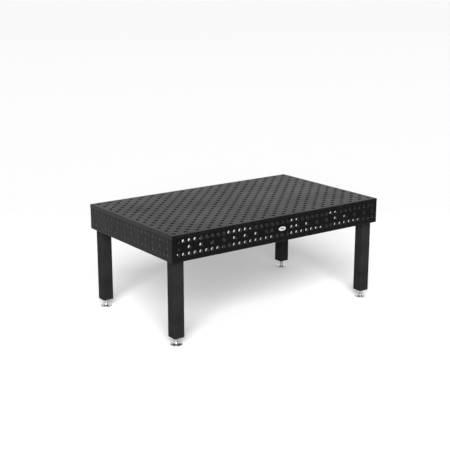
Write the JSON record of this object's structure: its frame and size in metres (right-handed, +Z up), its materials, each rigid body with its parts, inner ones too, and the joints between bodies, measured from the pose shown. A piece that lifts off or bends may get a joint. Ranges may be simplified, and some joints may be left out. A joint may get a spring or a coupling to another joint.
{
  "type": "welding table",
  "caption": "Rectangular perforated steel welding table: a ribbed box top with round holes on its top and sides, on four square legs with screw-adjusted disc feet.",
  "frame": {"origin": "on the floor under the middle of the table", "axes": "+X along the long side to the right seen from the front, +Y from the front face with the badge to the back, +Z up"},
  "size_m": [2, 1.2018, 0.85],
  "materials": {
    "nitrided_steel": "satin",
    "rib_steel": "matte",
    "leg_paint": "satin",
    "bolt_steel": "satin",
    "zinc_plate": "satin",
    "bright_steel": "satin",
    "badge_plate": "satin"
  },
  "bodies": {
    "table": {"top_plate": "nitrided_steel", "side_front": "nitrided_steel", "side_back": "nitrided_steel", "side_left": "nitrided_steel", "side_right": "nitrided_steel", "rib_cross_left": "rib_steel", "rib_cross_middle": "rib_steel", "rib_cross_right": "rib_steel", "rib_long": "rib_steel", "gusset_front_left": "rib_steel", "leg_mount_front_left": "rib_steel", "leg_tube_front_left": "leg_paint", "leg_head_plate_front_left": "rib_steel", "leg_base_plate_front_left": "leg_paint", "leg_bolt_front_left_1": "bolt_steel", "leg_bolt_front_left_2": "bolt_steel", "leg_bolt_front_left_3": "bolt_steel", "leg_bolt_front_left_4": "bolt_steel", "gusset_front_right": "rib_steel", "leg_mount_front_right": "rib_steel", "leg_tube_front_right": "leg_paint", "leg_head_plate_front_right": "rib_steel", "leg_base_plate_front_right": "leg_paint", "leg_bolt_front_right_1": "bolt_steel", "leg_bolt_front_right_2": "bolt_steel", "leg_bolt_front_right_3": "bolt_steel", "leg_bolt_front_right_4": "bolt_steel", "gusset_back_left": "rib_steel", "leg_mount_back_left": "rib_steel", "leg_tube_back_left": "leg_paint", "leg_head_plate_back_left": "rib_steel", "leg_base_plate_back_left": "leg_paint", "leg_bolt_back_left_1": "bolt_steel", "leg_bolt_back_left_2": "bolt_steel", "leg_bolt_back_left_3": "bolt_steel", "leg_bolt_back_left_4": "bolt_steel", "gusset_back_right": "rib_steel", "leg_mount_back_right": "rib_steel", "leg_tube_back_right": "leg_paint", "leg_head_plate_back_right": "rib_steel", "leg_base_plate_back_right": "leg_paint", "leg_bolt_back_right_1": "bolt_steel", "leg_bolt_back_right_2": "bolt_steel", "leg_bolt_back_right_3": "bolt_steel", "leg_bolt_back_right_4": "bolt_steel", "badge": "badge_plate"},
    "foot_front_left": {"foot_disc_front_left": "zinc_plate"},
    "spindle_front_left": {"foot_spindle_front_left": "bright_steel"},
    "nut_front_left": {"lock_nut_front_left": "bright_steel"},
    "foot_front_right": {"foot_disc_front_right": "zinc_plate"},
    "spindle_front_right": {"foot_spindle_front_right": "bright_steel"},
    "nut_front_right": {"lock_nut_front_right": "bright_steel"},
    "foot_back_left": {"foot_disc_back_left": "zinc_plate"},
    "spindle_back_left": {"foot_spindle_back_left": "bright_steel"},
    "nut_back_left": {"lock_nut_back_left": "bright_steel"},
    "foot_back_right": {"foot_disc_back_right": "zinc_plate"},
    "spindle_back_right": {"foot_spindle_back_right": "bright_steel"},
    "nut_back_right": {"lock_nut_back_right": "bright_steel"}
  },
  "joints": [
    {"name": "foot_height_front_left", "type": "slide", "parent": "table", "child": "foot_front_left", "axis": [0, 0, 1], "range_m": [-0.025, 0.02]},
    {"name": "spindle_turn_front_left", "type": "hinge", "parent": "foot_front_left", "child": "spindle_front_left", "pos_m": [-0.925, -0.525, 0.05], "axis": [0, 0, 1], "range_deg": [-3000, 2400]},
    {"name": "nut_turn_front_left", "type": "hinge", "parent": "table", "child": "nut_front_left", "pos_m": [-0.925, -0.525, 0.0547], "axis": [0, 0, 1], "range_deg": [0, 60]},
    {"name": "foot_height_front_right", "type": "slide", "parent": "table", "child": "foot_front_right", "axis": [0, 0, 1], "range_m": [-0.025, 0.02]},
    {"name": "spindle_turn_front_right", "type": "hinge", "parent": "foot_front_right", "child": "spindle_front_right", "pos_m": [0.925, -0.525, 0.05], "axis": [0, 0, 1], "range_deg": [-3000, 2400]},
    {"name": "nut_turn_front_right", "type": "hinge", "parent": "table", "child": "nut_front_right", "pos_m": [0.925, -0.525, 0.0547], "axis": [0, 0, 1], "range_deg": [0, 60]},
    {"name": "foot_height_back_left", "type": "slide", "parent": "table", "child": "foot_back_left", "axis": [0, 0, 1], "range_m": [-0.025, 0.02]},
    {"name": "spindle_turn_back_left", "type": "hinge", "parent": "foot_back_left", "child": "spindle_back_left", "pos_m": [-0.925, 0.525, 0.05], "axis": [0, 0, 1], "range_deg": [-3000, 2400]},
    {"name": "nut_turn_back_left", "type": "hinge", "parent": "table", "child": "nut_back_left", "pos_m": [-0.925, 0.525, 0.0547], "axis": [0, 0, 1], "range_deg": [0, 60]},
    {"name": "foot_height_back_right", "type": "slide", "parent": "table", "child": "foot_back_right", "axis": [0, 0, 1], "range_m": [-0.025, 0.02]},
    {"name": "spindle_turn_back_right", "type": "hinge", "parent": "foot_back_right", "child": "spindle_back_right", "pos_m": [0.925, 0.525, 0.05], "axis": [0, 0, 1], "range_deg": [-3000, 2400]},
    {"name": "nut_turn_back_right", "type": "hinge", "parent": "table", "child": "nut_back_right", "pos_m": [0.925, 0.525, 0.0547], "axis": [0, 0, 1], "range_deg": [0, 60]}
  ],
  "couplings": [
    {"joint": "spindle_turn_front_left", "follows": "foot_height_front_left", "rad_per_m": 2094.4},
    {"joint": "spindle_turn_front_right", "follows": "foot_height_front_right", "rad_per_m": 2094.4},
    {"joint": "spindle_turn_back_left", "follows": "foot_height_back_left", "rad_per_m": 2094.4},
    {"joint": "spindle_turn_back_right", "follows": "foot_height_back_right", "rad_per_m": 2094.4}
  ]
}
